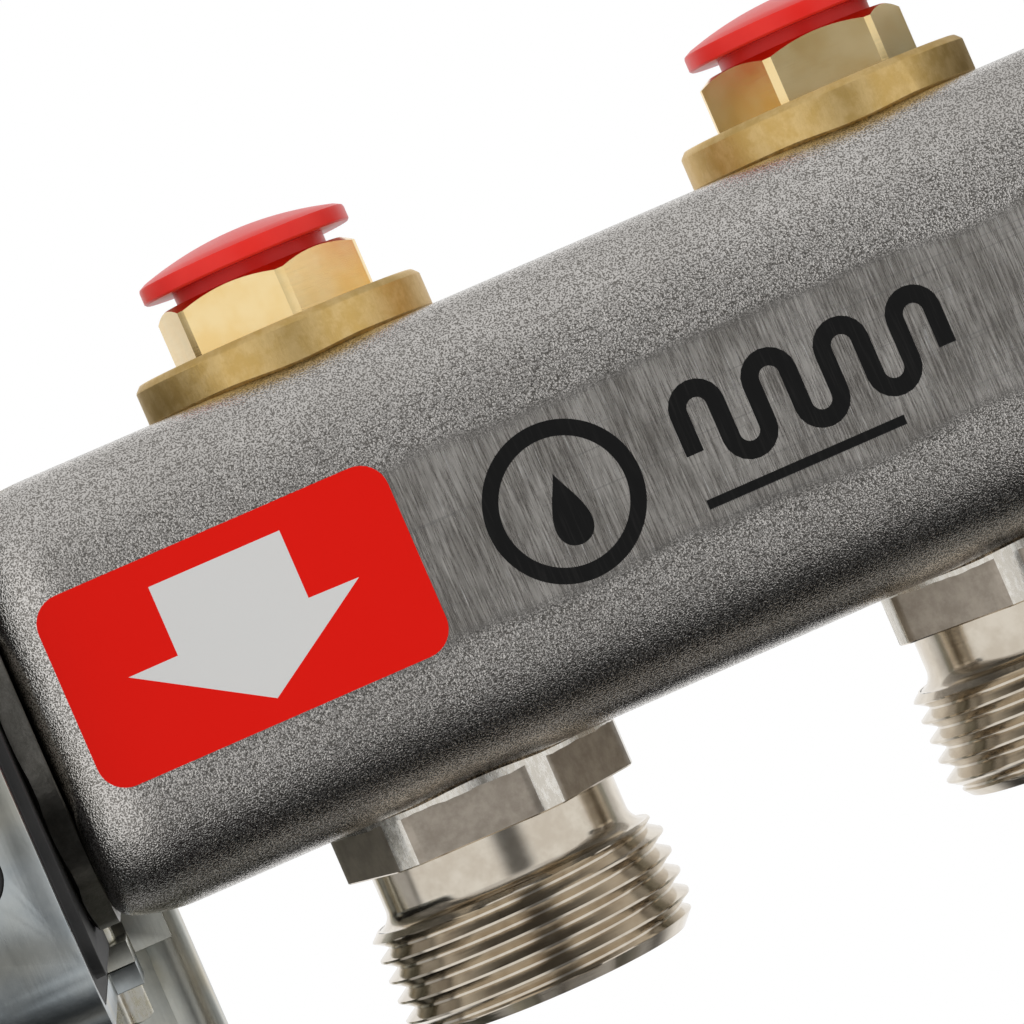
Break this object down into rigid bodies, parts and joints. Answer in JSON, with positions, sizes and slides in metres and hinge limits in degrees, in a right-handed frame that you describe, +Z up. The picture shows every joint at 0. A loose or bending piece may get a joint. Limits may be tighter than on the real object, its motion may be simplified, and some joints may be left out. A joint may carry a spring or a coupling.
{
  "type": "underfloor heating manifold",
  "caption": "Wall-hung floor heating manifold: stainless supply and return bars on zinc-plated rails, lockshield and thermostatic valves, threaded pipe outlets.",
  "frame": {"origin": "centre of the four wall slots, on the wall plane", "axes": "+X along the bars from the inlets to the plugged ends, +Y from the room into the wall, +Z up"},
  "size_m": [0.2319, 0.1004, 0.28],
  "materials": {
    "stainless": "satin, fine grain",
    "brass": "machined",
    "nickel": "nickel plated, turned",
    "rubber": "matt",
    "red_cap": "moulded",
    "blue_cap": "moulded",
    "black_cap": "moulded",
    "red_sticker": "printed film",
    "blue_sticker": "printed film",
    "pin_steel": "ground",
    "zinc": "zinc plated",
    "zinc_yellow": "zinc plated, passivated",
    "fastener": "zinc plated"
  },
  "bodies": {
    "manifold": {"supply_bar": "stainless", "return_bar": "stainless", "supply_end_socket_left": "nickel", "supply_end_socket_right": "nickel", "return_end_socket_left": "nickel", "return_end_socket_right": "nickel", "supply_valve_body_1": "brass", "supply_valve_body_2": "brass", "return_valve_body_1": "nickel", "return_valve_body_2": "nickel", "return_spring_1": "pin_steel", "return_spring_2": "pin_steel", "supply_outlet_1": "nickel", "supply_outlet_2": "nickel", "return_outlet_1": "nickel", "return_outlet_2": "nickel", "valve_seals": "rubber", "outlet_seals": "rubber", "supply_sticker": "red_sticker", "return_sticker": "blue_sticker", "supply_end_plug": "nickel", "return_end_plug": "nickel", "end_plug_gaskets": "rubber", "drain_cock": "nickel", "rail_left": "zinc_yellow", "rail_right": "zinc_yellow", "supply_strap_left": "zinc", "supply_strap_right": "zinc", "return_strap_left": "zinc", "return_strap_right": "zinc", "supply_rubber_left": "rubber", "supply_rubber_right": "rubber", "return_rubber_left": "rubber", "return_rubber_right": "rubber", "supply_saddle_left": "zinc_yellow", "supply_saddle_right": "zinc_yellow", "return_saddle_left": "zinc_yellow", "return_saddle_right": "zinc_yellow", "clamp_bolts": "fastener", "clamp_nuts": "fastener", "saddle_bolts": "fastener", "saddle_nuts": "zinc_yellow"},
    "supply_cone_1": {"supply_cone_1": "brass", "supply_cone_washer_1": "rubber"},
    "supply_spindle_1": {"supply_spindle_1": "brass"},
    "supply_cap_1": {"supply_cap_1": "red_cap"},
    "return_pin_1": {"return_pin_1": "pin_steel", "return_disc_washer_1": "rubber"},
    "return_hand_cap_1": {"return_hand_cap_1": "blue_cap"},
    "supply_cone_2": {"supply_cone_2": "brass", "supply_cone_washer_2": "rubber"},
    "supply_spindle_2": {"supply_spindle_2": "brass"},
    "supply_cap_2": {"supply_cap_2": "red_cap"},
    "return_pin_2": {"return_pin_2": "pin_steel", "return_disc_washer_2": "rubber"},
    "return_hand_cap_2": {"return_hand_cap_2": "blue_cap"},
    "air_vent_screw": {"air_vent_screw": "brass"},
    "drain_spindle": {"drain_spindle": "brass"},
    "drain_cap": {"drain_cap": "black_cap"}
  },
  "joints": [
    {"name": "supply_spindle_1_turn", "type": "hinge", "parent": "manifold", "child": "supply_spindle_1", "pos_m": [-0.025, -0.0407, 0.1], "axis": [0, 0, -1], "range_deg": [0, 1440]},
    {"name": "supply_cone_1_slide", "type": "slide", "parent": "manifold", "child": "supply_cone_1", "axis": [0, 0, -1], "range_m": [0, 0.00401]},
    {"name": "supply_cap_1_pull", "type": "slide", "parent": "manifold", "child": "supply_cap_1", "axis": [0, 0, 1], "range_m": [0, 0.012]},
    {"name": "return_hand_cap_1_turn", "type": "hinge", "parent": "manifold", "child": "return_hand_cap_1", "pos_m": [-0.025, -0.0757, -0.1], "axis": [0, 0, -1], "range_deg": [0, 840]},
    {"name": "return_pin_1_slide", "type": "slide", "parent": "manifold", "child": "return_pin_1", "axis": [0, 0, -1], "range_m": [0, 0.00351], "deforming": ["return_spring_1"]},
    {"name": "supply_spindle_2_turn", "type": "hinge", "parent": "manifold", "child": "supply_spindle_2", "pos_m": [0.025, -0.0407, 0.1], "axis": [0, 0, -1], "range_deg": [0, 1440]},
    {"name": "supply_cone_2_slide", "type": "slide", "parent": "manifold", "child": "supply_cone_2", "axis": [0, 0, -1], "range_m": [0, 0.00401]},
    {"name": "supply_cap_2_pull", "type": "slide", "parent": "manifold", "child": "supply_cap_2", "axis": [0, 0, 1], "range_m": [0, 0.012]},
    {"name": "return_hand_cap_2_turn", "type": "hinge", "parent": "manifold", "child": "return_hand_cap_2", "pos_m": [0.025, -0.0757, -0.1], "axis": [0, 0, -1], "range_deg": [0, 840]},
    {"name": "return_pin_2_slide", "type": "slide", "parent": "manifold", "child": "return_pin_2", "axis": [0, 0, -1], "range_m": [0, 0.00351], "deforming": ["return_spring_2"]},
    {"name": "air_vent_screw_turn", "type": "hinge", "parent": "manifold", "child": "air_vent_screw", "pos_m": [0.0948, -0.0407, 0.1], "axis": [1, 0, 0], "range_deg": [0, 360]},
    {"name": "drain_spindle_turn", "type": "hinge", "parent": "manifold", "child": "drain_spindle", "pos_m": [0.1163, -0.0757, -0.1], "axis": [0, 0, 1], "range_deg": [0, 90]},
    {"name": "drain_cap_pull", "type": "slide", "parent": "manifold", "child": "drain_cap", "axis": [1, 0, 0], "range_m": [0, 0.02]}
  ],
  "couplings": [
    {"joint": "supply_cone_1_slide", "follows": "supply_spindle_1_turn", "m_per_rad": 0.00015915},
    {"joint": "return_pin_1_slide", "follows": "return_hand_cap_1_turn", "m_per_rad": 0.00023873},
    {"joint": "supply_cone_2_slide", "follows": "supply_spindle_2_turn", "m_per_rad": 0.00015915},
    {"joint": "return_pin_2_slide", "follows": "return_hand_cap_2_turn", "m_per_rad": 0.00023873}
  ]
}
